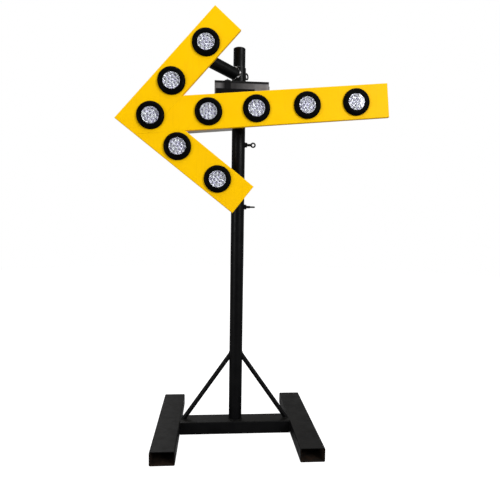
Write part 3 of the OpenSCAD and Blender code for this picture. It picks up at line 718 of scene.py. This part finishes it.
# ---------- clamp screws ----------
def eye_screw(name, node, sizes):
    """Forged eye screw: a threaded shank, a collar and a ring that swells into it.

    The thread is cut 0.594 of the pitch times the distance in turns from the nearest crest, so
    0.3 of the pitch at its root. Crests lie where height / pitch - angle / full turn is a whole
    number and a half. The cut fades out towards both ends of the shank.
    """
    joint = JOINTS[f"{name}_screw_turn"]
    out = np.array(joint["axis"], float)
    low, high = (np.array(corner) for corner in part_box(node))
    spread = high - low
    upright = spread[2] > sizes.thread + MM
    across = spread[2] if upright else spread[1]
    ring_radius = (across - sizes.rod) / 2
    side = np.cross(out, (0, 0, 1)) if upright else np.array([0, 0, 1.0])
    tall = np.array([0, 0, 1.0]) if upright else np.cross(out, (0, 0, 1))
    origin = np.array(joint["pos_m"], float)
    origin[:2] = 0
    tip, reach = extent(node, out)
    neck = reach - sizes.rod - 2 * ring_radius
    shank_radius = sizes.thread / 2
    steps, rows = 48, int((neck - tip) / (sizes.pitch / 6))
    height = np.linspace(tip + 1 * MM, neck - 2 * MM, rows)
    angle = turns(steps)
    phase = (height[:, None] / sizes.pitch - angle / TURN) % 1.0
    cut = 0.594 * sizes.pitch * np.abs(phase - 0.5)
    fade = np.clip((height - height[0]) / (1.5 * MM), 0, 1)
    fade *= np.clip((height[-1] - height) / (2 * MM), 0, 1)
    body = circle(angle, shank_radius - cut * fade[:, None], height[:, None])
    # the collar narrows from the shank to the rod between the thread's end and the ring
    collar_h = np.linspace(0, 1, 8)[1:]
    collar_r = shank_radius + (sizes.rod * 0.56 - shank_radius) * collar_h ** 1.5
    collar_z = height[-1] + (neck + ring_radius * 0.3 - height[-1]) * collar_h
    collar = circle(angle, collar_r[:, None], collar_z[:, None])
    last = (0, 0, neck + ring_radius * 0.35)
    points, faces = capped(np.concatenate([body, collar]), (0, 0, tip), last)
    shank = (put(points, axes(origin, out, side)), faces, 0)
    # the ring: its rod is about a fifth thicker where it joins the shank
    ring_steps, rod_steps = 72, 20
    a = turns(ring_steps)
    rod = sizes.rod / 2 * (1 + 0.22 * np.clip(-np.cos(a), 0, 1) ** 4)
    centre = origin + out * (neck + sizes.rod / 2 + ring_radius)
    radial = np.cos(a)[:, None] * out + np.sin(a)[:, None] * tall
    flat = np.broadcast_to(side, radial.shape)
    ring = swept(centre + ring_radius * radial, rod, radial, flat, rod_steps)
    return [shank, (ring.reshape(-1, 3), [quads(ring_steps, rod_steps, True, True)], 0)]


def extent(node, out):
    """The node's smallest and largest distance from the Z axis along out."""
    reach = np.array([vertex.co for vertex in NODES[node].data.vertices]) @ out
    return reach.min(), reach.max()


class ARROWBOARD_OT_clamp_screws(bpy.types.Operator):
    """The three forged eye screws and their pressure pads"""
    bl_idname = "arrow_board.clamp_screws"
    bl_label = "Clamp screws"

    def execute(self, context):
        sizes = context.scene.arrow_board_head
        black = satin_black_enamel("forged_black_enamel", "#0c0c0c", "#1d1c1b", 0.4)
        for name in ("upper", "lower", "head"):
            node = f"{name}_eye_screw"
            make_piece(f"{name}_forged_eye", eye_screw(name, node, sizes), [black],
                       f"{name}_screw", "screw_paint", [node])
        coat(turned_steel(), "upper_screw_pad", "lower_screw_pad", "head_screw_pad")
        return {"FINISHED"}


# ---------- head ----------
class ARROWBOARD_OT_head(bpy.types.Operator):
    """Head sleeve, stay arm, slotted plate, bracket and their weld beads"""
    bl_idname = "arrow_board.head"
    bl_label = "Head"

    def execute(self, context):
        sizes = context.scene.arrow_board_head
        bead_radius = context.scene.arrow_board_stand.bead
        black = satin_black_enamel("head_enamel", gloss=0.3)
        bright = weld_painted_glints()
        coat(black, "head_sleeve", "stay_arm")
        eased(0.5 * MM, black, "mast_paint", "head_nut")
        eased(sizes.edge, black, "bracket_paint", "slot_plate", "head_bracket")
        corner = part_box("head_sleeve")[1]
        radius = corner.x
        turn_by, rise = sizes.arm_turn, sizes.arm_rise
        along = np.array([-math.cos(turn_by) * math.cos(rise), -math.sin(turn_by) * math.cos(rise),
                          math.sin(rise)])
        joint = JOINTS["head_screw_turn"]
        shells = [
            bead(saddle((0, 0, sizes.arm_height), along, sizes.arm_width / 2 + 0.5 * MM, radius),
                 bead_radius * 1.25, along),
            nut_weld((0, 0, joint["pos_m"][2]), joint["axis"], radius, bead_radius),
            # hammered burr round the sleeve's sawn top, 2 mm across, whose finish paints glints along the
            # rim
            bead(circle(turns(120), radius - 1.5 * MM, corner.z), 1 * MM, (0, 0, 1), ripple=11 * MM),
        ]
        make_piece("head_welds", shells, [bright], NODES["head_sleeve"]["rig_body"], "mast_paint")
        return {"FINISHED"}


# ---------- battery ----------
class ARROWBOARD_OT_battery(bpy.types.Operator):
    """Battery case with its strap, drawer, battery, knob and gland"""
    bl_idname = "arrow_board.battery"
    bl_label = "Battery case"

    def execute(self, context):
        edge = context.scene.arrow_board_head.edge
        grey = grey_enamel_painted_reflection(*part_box("battery_case"))
        black = satin_black_enamel("strap_enamel", "#0a0a0b", "#151516", 0.34)
        eased(edge, grey, "case_paint", "battery_case", "battery_drawer")
        eased(edge, black, "bracket_paint", "case_strap")
        coat(bright_zinc(), "strap_bolt")
        coat(moulded_plastic("shrink_film", "#243a66", "#2c4677", 0.3), "battery_pack")
        nylon = moulded_plastic("black_nylon", "#0c0c0d", "#191919", 0.42)
        eased(0.6 * MM, nylon, "gland", "drawer_knob")
        coat(nylon, "battery_gland")
        return {"FINISHED"}


# ---------- arrow ----------
def inside(points, outline):
    """Which points lie inside the outline: an odd number of its edges cross the ray towards +x."""
    x, y = points[:, 0][:, None], points[:, 1][:, None]
    a, b = outline, np.roll(outline, -1, 0)
    crosses = (a[:, 1] > y) != (b[:, 1] > y)
    rise = np.where(b[:, 1] == a[:, 1], 1e-12, b[:, 1] - a[:, 1])
    where = a[:, 0] + (y - a[:, 1]) * (b[:, 0] - a[:, 0]) / rise
    return (crosses & (x < where)).sum(1) % 2 == 1


def edge_distance(points, outline):
    """Distance from each point to the nearest edge of the outline."""
    a, b = outline[None], np.roll(outline, -1, 0)[None]
    run = b - a
    t = ((points[:, None] - a) * run).sum(-1) / (run ** 2).sum(-1)
    near = a + np.clip(t, 0, 1)[..., None] * run
    return np.linalg.norm(points[:, None] - near, axis=-1).min(1)


def inset(outline, depths):
    """Outline moved inwards, edge i by depths[i]; where two edges are in line, it steps across."""
    made = []
    count = len(outline)
    for i in range(count):
        before, corner, after = outline[i - 1], outline[i], outline[(i + 1) % count]
        u = (corner - before) / np.linalg.norm(corner - before)
        v = (after - corner) / np.linalg.norm(after - corner)
        nu, nv = np.array([-u[1], u[0]]), np.array([-v[1], v[0]])
        du, dv = depths[i - 1], depths[i]
        turn_by = u[0] * v[1] - u[1] * v[0]
        if abs(turn_by) < 1e-6:
            made += [corner + nu * du, corner + nv * dv]
            continue
        offset = (corner + nv * dv) - (corner + nu * du)
        made.append(corner + nu * du + u * (offset[0] * v[1] - offset[1] * v[0]) / turn_by)
    return np.array(made)


def front_sheet(outline, holes, sizes):
    """Flat sheet with round holes, hollowed a little between its folds as thin sheet is.

    The depth at a point is the buckle times a product of two sines, faded in over the first
    40 mm from the outline. The same triangles, turned over, make the back, one sheet deeper.
    """
    step, hole_steps = 18 * MM, 64
    low, high = outline.min(0), outline.max(0)
    gx, gy = np.meshgrid(np.arange(low[0], high[0], step), np.arange(low[1], high[1], step))
    grid = np.stack([gx.ravel(), gy.ravel()], -1)
    keep = inside(grid, outline) & (edge_distance(grid, outline) > step / 3)
    loops = [outline]
    for centre, radius in holes:
        keep &= np.linalg.norm(grid - centre, axis=1) > radius + step / 3
        loops.append(centre + circle(turns(hole_steps), radius)[:, :2])
    edges, start = [], 0
    for loop in loops:
        count = len(loop)
        edges += [(start + i, start + (i + 1) % count) for i in range(count)]
        start += count
    flat = np.concatenate([*loops, grid[keep]])
    found = delaunay_2d_cdt([Vector(p) for p in flat], edges, [], 0, 1e-7)
    points = np.array([tuple(p) for p in found[0]])
    faces = np.array([f for f in found[2] if len(f) == 3])
    middle = points[faces].mean(1)
    solid = inside(middle, outline)
    for centre, radius in holes:
        solid &= np.linalg.norm(middle - centre, axis=1) > radius * 0.999
    faces = faces[solid]
    fade = np.clip(edge_distance(points, outline) / (40 * MM), 0, 1)
    along, across = points[:, 0] / (47 * MM) + 1.3, points[:, 1] / (31 * MM)
    wave = 0.5 + 0.5 * np.sin(along) * np.sin(across)
    front = np.column_stack([points, -sizes.buckle * wave * fade * fade * (3 - 2 * fade)])
    back = front - (0, 0, sizes.sheet)
    n = len(points)
    sides = np.concatenate([faces[:, [0, 1]], faces[:, [1, 2]], faces[:, [2, 0]]])
    codes = np.sort(sides, axis=1) @ (n, 1)
    _, first, times = np.unique(codes, return_index=True, return_counts=True)
    rim = sides[first[times == 1]]
    walls = np.stack([rim[:, 0], rim[:, 1], rim[:, 1] + n, rim[:, 0] + n], -1)
    return np.concatenate([front, back]), [faces, faces[:, ::-1] + n, walls], 0


def fold(a, b, lean_a, lean_b, depth, sizes):
    """Folded edge from a to b: the section of wall and lip carried along, with mitred ends.

    A section point n inside the edge starts n / tan(lean) along it, so a right angle cuts square.
    """
    r, t = sizes.fold, sizes.sheet
    section = rounded([(r, 0), (0, 0), (0, -depth), (sizes.lip, -depth), (sizes.lip, t - depth),
                       (t, t - depth), (t, -t), (r, -t)],
                      [0, r, r, 0, 0, r - t, (r - t) * 0.9, 0])
    run = np.linalg.norm(b - a)
    along = (b - a) / run
    inward = np.array([-along[1], along[0]])
    n, h = section[:, 0], section[:, 1]
    rows = []
    for s in (n / math.tan(lean_a), run - n / math.tan(lean_b)):
        flat = a + s[:, None] * along + n[:, None] * inward
        rows.append(np.column_stack([flat, h]))
    count = len(section)
    caps = np.array([np.arange(count)[::-1], count + np.arange(count)])
    return np.concatenate(rows), [quads(2, count, False, True), caps], 0


def tray(outline, folded, holes, place, depth, sizes):
    """A tray: its front sheet and a fold along each edge i of the outline that folded[i] names."""
    outline = np.array(outline)
    depths = [sizes.fold if mark else 0.0 for mark in folded]
    shells = [front_sheet(inset(outline, depths), holes, sizes)]
    count = len(outline)
    gap = 0.3 * MM
    for i in range(count):
        if not folded[i]:
            continue
        a, b = outline[i], outline[(i + 1) % count]
        leans = []
        for other, corner, far, mark in ((outline[i - 1], a, b, folded[i - 1]),
                                         (outline[(i + 2) % count], b, a, folded[(i + 1) % count])):
            u, v = other - corner, far - corner
            inner = math.acos(np.dot(u, v) / np.linalg.norm(u) / np.linalg.norm(v))
            straight = abs(inner - math.pi) < 1e-3
            leans.append(math.pi / 2 if straight else inner / 2 if mark else inner)
        along = (b - a) / np.linalg.norm(b - a)
        shells.append(fold(a + gap * along, b - gap * along, leans[0], leans[1], depth, sizes))
    return [(put(points, place), faces, mark) for points, faces, mark in shells]


class ARROWBOARD_OT_trays(bpy.types.Operator):
    """The three folded sheet trays of the arrow"""
    bl_idname = "arrow_board.trays"
    bl_label = "Arrow trays"

    def execute(self, context):
        sizes = context.scene.arrow_board_arrow
        lamps = context.scene.arrow_board_lamps
        yellow = yellow_powder_coat("yellow_powder_coat", "#ffc800")
        place, depth = arrow_place()
        back = np.linalg.inv(place)
        spots = [put(lamp[:3, 3][None], back)[0, :2] for lamp in lamp_places()]
        h, spread = sizes.band / 2, sizes.spread
        a = h / math.tan(spread)
        start = h / math.sin(spread)
        edge = sizes.band / math.sin(spread)
        corner = edge + a
        middle_run = sizes.arm - a

        def arm(u, v, side=1):
            return (start + u * math.cos(spread) - v * math.sin(spread),
                    side * (u * math.sin(spread) + v * math.cos(spread)))

        seam = sizes.seam
        trays = {
            "upper_arm_panel": ([(0, 0), (a, -h), (edge - a, -h), (corner, h),
                                 arm(middle_run, -h), arm(middle_run, h)],
                                [1, 0, 0, 1, 1, 1], spots[:3]),
            "lower_arm_panel": ([(a + seam, -h - seam), arm(middle_run, h, -1),
                                 arm(middle_run, -h, -1), (corner + seam, -h - seam)],
                                [1, 1, 1, 0], spots[3:5]),
            "shaft_panel": ([(edge - a + seam, -h), (corner + seam, -h), (sizes.reach, -h),
                             (sizes.reach, h), (corner + seam, h)],
                            [0, 1, 1, 1, 0], spots[5:]),
        }
        for node, (outline, folded, centres) in trays.items():
            holes = [(centre, lamps.hole / 2) for centre in centres]
            shells = tray(outline, folded, holes, place, depth, sizes)
            make_piece(f"{node}_folded", shells, [yellow], "arrow", "arrow_yellow", [node])
        return {"FINISHED"}


class ARROWBOARD_OT_plates(bpy.types.Operator):
    """Plates, straps, bolts and rivets behind the arrow"""
    bl_idname = "arrow_board.plates"
    bl_label = "Plates and fasteners"

    def execute(self, context):
        edge = context.scene.arrow_board_head.edge
        yellow = yellow_powder_coat("yellow_powder_coat_plate", "#f7c204")
        zinc = bright_zinc()
        eased(edge, yellow, "plate_yellow", "junction_plate", "arm_carrier", "shaft_carrier")
        eased(edge, zinc, "zinc", "box_straps")
        eased(0.5 * MM, zinc, "zinc", "pivot_bolt", "pivot_nut", "clamp_bolt", "clamp_nut")
        coat(zinc, "panel_rivets", "cover_screws", "mount_screws")
        return {"FINISHED"}


# ---------- lamps ----------
def grommet_profile(sizes):
    """Section of the grommet, round its edge: lens lip, crown, fine groove, shoulder and flange."""
    show, rim, rise, neck = sizes.show / 2, sizes.rim / 2, sizes.rise, sizes.hole / 2 - 0.3 * MM
    back, cup = rise - 7.5 * MM, 40.3 * MM
    lip = neck + 4.3 * MM
    points = [(show, back + 3 * MM), (show, rise), (show + 9 * MM, rise),
              (show + 9.6 * MM, rise - 1.1 * MM), (show + 10.8 * MM, rise - 1.1 * MM),
              (show + 11.4 * MM, rise - 0.5 * MM), (rim, 0.62 * rise), (rim, 0), (neck, 0),
              (neck, -1.5 * MM), (lip, -1.5 * MM), (lip, -6 * MM), (cup, -6 * MM), (cup, back + 3 * MM)]
    radii = [0, 2.4, 0.5, 0.3, 0.3, 1.2, 6.5, 0.8, 0, 0, 1, 1, 0, 0]
    return rounded(points, [radius * MM for radius in radii], 7)


def reflector(place, sizes, level, radius):
    """Moulded reflector: one round sheet of cups.

    Its height is level plus the cups' depth times the square of the distance to the nearest cup's
    middle over that cup's radius, no more than 1: the cups are paraboloids and the web is flat.
    """
    cup_depth, edge = 7 * MM, 1 * MM
    # each cup's x, y and radius: one in the middle, then the inner and the outer ring
    cups = [(0.0, 0.0, 6.6 * MM)]
    for count, ring, size in ((sizes.inner_cells, 14.6 * MM, 7.2 * MM),
                              (sizes.outer_cells, 28.6 * MM, 8.6 * MM)):
        cups += [(*spot[:2], size) for spot in circle(turns(count), ring)]
    cups = np.array(cups)
    steps, rows = 132, 42
    top = circle(turns(steps), np.linspace(0, radius, rows + 1)[1:, None], np.zeros((rows, 1)))
    far = np.linalg.norm(top[:, :, None, :2] - cups[:, :2], axis=-1) / cups[:, 2]
    top[..., 2] = level + cup_depth * np.minimum(far.min(-1) ** 2, 1.0)
    skirt = circle(turns(steps), radius, level - edge)[None]
    points, faces = capped(np.concatenate([top, skirt]), (0, 0, level), (0, 0, level - edge))
    return (put(points, place), faces, 0), cups


def led_domes(place, cups, level):
    """Half-round epoxy domes, 5 mm across, one in the middle of each cup."""
    radius, root = 2.5 * MM, level - 0.5 * MM
    profile = circle(np.linspace(0, math.pi / 2, 6), radius)[:, :2] + (0, level)
    profile = np.concatenate([[[0, root], [radius, root]], profile])
    profile[-1, 0] = 0
    shells = []
    for x, y, _ in cups:
        spot = place.copy()
        spot[:3, 3] += place[:3, 0] * x + place[:3, 1] * y
        shells.append(turned(profile, spot, 14))
    return shells


def lens_profile(radius, show, thickness, dome):
    """Lens section: flat back, square flange and a shallow parabolic dome over the visible part."""
    r = np.linspace(show - 0.5 * MM, 0, 14)
    top = thickness + dome * (1 - (r / show) ** 2)
    flange = rounded([(radius, 0), (radius, thickness), (show - 0.5 * MM, thickness)], [0.4 * MM] * 3, 4)
    return np.concatenate([[[0, 0], [radius - 0.4 * MM, 0]], flange[4:8], np.stack([r, top], -1)])


class ARROWBOARD_OT_lamps(bpy.types.Operator):
    """Grommets, lenses, reflectors and diodes of the nine lamps"""
    bl_idname = "arrow_board.lamps"
    bl_label = "Lamps"

    def execute(self, context):
        sizes = context.scene.arrow_board_lamps
        rubber, clear = moulded_rubber(), clear_polycarbonate()
        mirror, epoxy = metallised_reflector(), led_epoxy()
        places = lamp_places()
        make_piece("moulded_grommets", [turned(grommet_profile(sizes), place, 120, closed=True)
                                        for place in places],
                   [rubber], "arrow", "grommet_rubber", ["lamp_grommets"], sharp=50)
        cells, domes = [], []
        cup_floor, play, thickness, dome = -2 * MM, 2 * MM, 3 * MM, 2.5 * MM
        for i, place in enumerate(places):
            low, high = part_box(f"lamp_lens_{i + 1}")
            radius = (high.x - low.x) / 2
            face = place.copy()
            face[1, 3] = high.y
            profile = lens_profile(radius, sizes.show / 2, thickness, dome)
            lens = make_piece(f"clear_lens_{i + 1}", [turned(profile, face, 96)], [clear], "arrow",
                              "lamp_lens", [f"lamp_lens_{i + 1}"])
            # light reaches the cups straight through the clear lens
            lens.visible_shadow = False
            # each lamp was screwed in at an angle of its own
            spun = place.copy()
            spin = math.radians(17 * i)
            spun[:3, 0] = place[:3, 0] * math.cos(spin) + place[:3, 1] * math.sin(spin)
            spun[:3, 1] = np.cross(place[:3, 2], spun[:3, 0])
            sheet, cups = reflector(spun, sizes, cup_floor, radius - play)
            cells.append(sheet)
            domes += led_domes(spun, cups, cup_floor)
        make_piece("reflector_cups", cells, [mirror], "arrow", "led_board", ["led_boards"], sharp=60)
        make_piece("led_domes", domes, [epoxy], "arrow", "led_board")
        coat(moulded_plastic("black_abs_cup", "#0b0b0c", "#161617", 0.45), "lamp_housings")
        coat(moulded_plastic("pvc_jacket", "#0a0a0a", "#171717", 0.4), "lamp_harness")
        return {"FINISHED"}


# ---------- control box ----------
class ARROWBOARD_OT_control_box(bpy.types.Operator):
    """Control box with its cover, flasher board, switch and gland"""
    bl_idname = "arrow_board.control_box"
    bl_label = "Control box"

    def execute(self, context):
        grey = moulded_plastic("light_grey_abs", "#b9bbbc", "#c9cbcc", 0.42)
        eased(2.0 * MM, grey, "box_grey", "control_case")
        eased(1.2 * MM, grey, "box_grey", "control_cover")
        coat(solder_mask(), "flasher_board")
        coat(bright_zinc(), "toggle_switch", "toggle_lever")
        coat(moulded_plastic("black_nylon_gland", "#0c0c0d", "#191919", 0.42), "control_gland")
        return {"FINISHED"}


# ---------- studio ----------
def area_light(name, place, aim, size, power):
    """Square soft light at place that faces aim."""
    data = bpy.data.lights.new(name, "AREA")
    data.size = size
    data.energy = power
    light = bpy.data.objects.new(name, data)
    light.location = place
    light.rotation_euler = (Vector(aim) - Vector(place)).to_track_quat("-Z", "Y").to_euler()
    bpy.context.scene.collection.objects.link(light)


class ARROWBOARD_OT_studio(bpy.types.Operator):
    """Pale floor, soft light and the camera"""
    bl_idname = "arrow_board.studio"
    bl_label = "Studio"

    def execute(self, context):
        values = context.scene.arrow_board_studio
        scene = context.scene
        camera = bpy.data.objects.new("camera", bpy.data.cameras.new("camera"))
        camera.data.lens = values.focal
        camera.data.sensor_width = 36.0
        tip, roll, swing = values.turned
        stand = (Matrix.Rotation(swing, 4, "Z") @ Matrix.Rotation(tip, 4, "X")
                 @ Matrix.Rotation(roll, 4, "Y") @ Matrix.Rotation(math.pi / 2, 4, "X"))
        camera.matrix_world = Matrix.Translation(values.place) @ stand
        scene.collection.objects.link(camera)
        scene.camera = camera
        self.floor(values)
        self.room(scene)
        area_light("overhead", (0.3, -1.2, 4.4), (0, 0, 0.8), 2.4, 45)
        area_light("key", (3.4, -4.0, 3.0), (-0.1, 0, 1.3), 2.2, 175)
        area_light("fill", (-4.4, -3.4, 1.4), (-0.1, 0, 1.2), 2.2, 85)
        area_light("rear", (-1.4, 3.4, 4.4), (0, 0, 1.2), 2.2, 80)
        scene.view_settings.view_transform = "Standard"
        return {"FINISHED"}

    def room(self, scene):
        """Dim grey walls round a seamless white backdrop, which only the camera's own rays see."""
        world = bpy.data.worlds.new("studio")
        scene.world = world
        world.use_nodes = True
        tree = world.node_tree
        seen = add(tree, "ShaderNodeLightPath").outputs["Is Camera Ray"]
        spread = add(tree, "ShaderNodeMapRange", {"Value": seen}, {"To Min": 0.3, "To Max": 1.0})
        tree.links.new(spread.outputs["Result"], tree.nodes["Background"].inputs["Strength"])
        tree.nodes["Background"].inputs["Color"].default_value = paint("#ffffff")

    def floor(self, values):
        """Round floor 16 m across, lit from below for the camera's own rays so that it is seamless."""
        disc = turned([(0, -2 * MM), (8, -2 * MM), (8, 0), (0, 0)], np.eye(4), 96)
        mesh = bpy.data.meshes.new("studio_floor")
        mesh.from_pydata(disc[0].tolist(), [], [face for part in disc[1] for face in part.tolist()])
        ground = Finish("studio_floor", Roughness=0.7, Base_Color=(*values.floor, 1.0),
                        Emission_Color=paint("#ffffff"))
        seen = ground.add("ShaderNodeLightPath").outputs["Is Camera Ray"]
        glow = ground.ramp(seen, 0.0, 1.0, 0.0, 0.97)
        ground.tree.links.new(glow, ground.inputs["Emission Strength"])
        mesh.materials.append(ground.material)
        floor = bpy.data.objects.new("studio_floor", mesh)
        bpy.context.scene.collection.objects.link(floor)


# ---------- add-on ----------
class ARROWBOARD_PT_panel(bpy.types.Panel):
    """Lists the pieces of the arrow board"""
    bl_idname = "ARROWBOARD_PT_panel"
    bl_label = "Arrow board"
    bl_space_type = "VIEW_3D"
    bl_region_type = "UI"
    bl_category = "Arrow Board"

    def draw(self, context):
        for group in GROUPS:
            settings = getattr(context.scene, group)
            for name in settings.__annotations__:
                self.layout.prop(settings, name)
        for operator in OPERATORS:
            self.layout.operator(operator.bl_idname)


GROUPS = {
    "arrow_board_stand": StandSizes,
    "arrow_board_head": HeadSizes,
    "arrow_board_arrow": ArrowSizes,
    "arrow_board_lamps": LampSizes,
    "arrow_board_studio": StudioValues,
}
OPERATORS = (
    ARROWBOARD_OT_studio,
    ARROWBOARD_OT_stand,
    ARROWBOARD_OT_masts,
    ARROWBOARD_OT_clamp_screws,
    ARROWBOARD_OT_head,
    ARROWBOARD_OT_battery,
    ARROWBOARD_OT_trays,
    ARROWBOARD_OT_plates,
    ARROWBOARD_OT_lamps,
    ARROWBOARD_OT_control_box,
)


def register():
    for name, group in GROUPS.items():
        bpy.utils.register_class(group)
        setattr(bpy.types.Scene, name, bpy.props.PointerProperty(type=group))
    for item in (*OPERATORS, ARROWBOARD_PT_panel):
        bpy.utils.register_class(item)


def unregister():
    for item in (ARROWBOARD_PT_panel, *reversed(OPERATORS)):
        bpy.utils.unregister_class(item)
    for name, group in GROUPS.items():
        delattr(bpy.types.Scene, name)
        bpy.utils.unregister_class(group)


def main():
    """Builds everything."""
    register()
    for operator in OPERATORS:
        group, name = operator.bl_idname.split(".")
        getattr(getattr(bpy.ops, group), name)()


if __name__ == "__main__":
    main()
